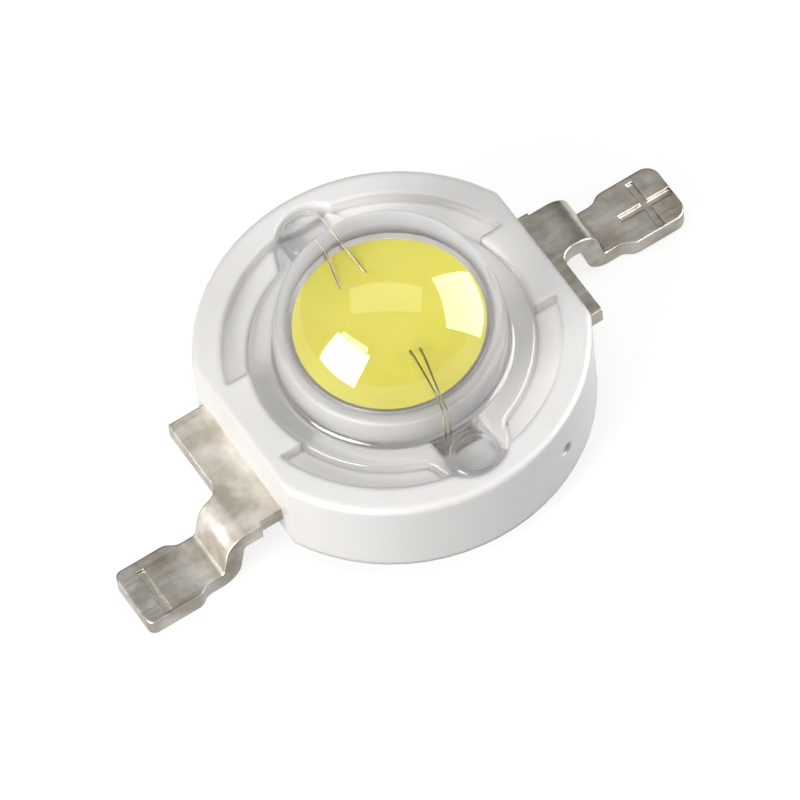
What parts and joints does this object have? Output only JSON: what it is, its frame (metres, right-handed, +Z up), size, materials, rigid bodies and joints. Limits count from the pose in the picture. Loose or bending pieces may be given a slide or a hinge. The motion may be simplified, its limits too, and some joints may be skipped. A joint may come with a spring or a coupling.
{
  "type": "high power led",
  "caption": "Surface mount high power LED: round white body with clear dome lens, yellow phosphor, metal heat slug underneath and two bent solder leads.",
  "frame": {"origin": "on the body's axis, in the plane of the heat slug's underside", "axes": "+Z up through the dome, X along the leads with the plus lead toward +X, Y toward the two filling ports"},
  "size_m": [0.0141, 0.008, 0.0055],
  "materials": {
    "housing": "fine moulded, slightly glossy",
    "lens": "clear, smooth",
    "silicone_gel": "clear, smooth",
    "heat_slug": "satin silver plate",
    "lead_plate": "silver plate, slightly tarnished",
    "led_die": "polished",
    "die_attach": "dull solder",
    "phosphor": "satin",
    "bond_wire": "drawn, bright"
  },
  "bodies": {
    "root": {"housing": "housing", "lens": "lens", "silicone_gel": "silicone_gel", "heat_slug": "heat_slug", "cathode_lead": "lead_plate", "anode_lead": "lead_plate", "led_die": "led_die", "die_attach": "die_attach", "phosphor": "phosphor", "cathode_wire_a": "bond_wire", "cathode_wire_b": "bond_wire", "anode_wire_a": "bond_wire", "anode_wire_b": "bond_wire"}
  },
  "joints": []
}
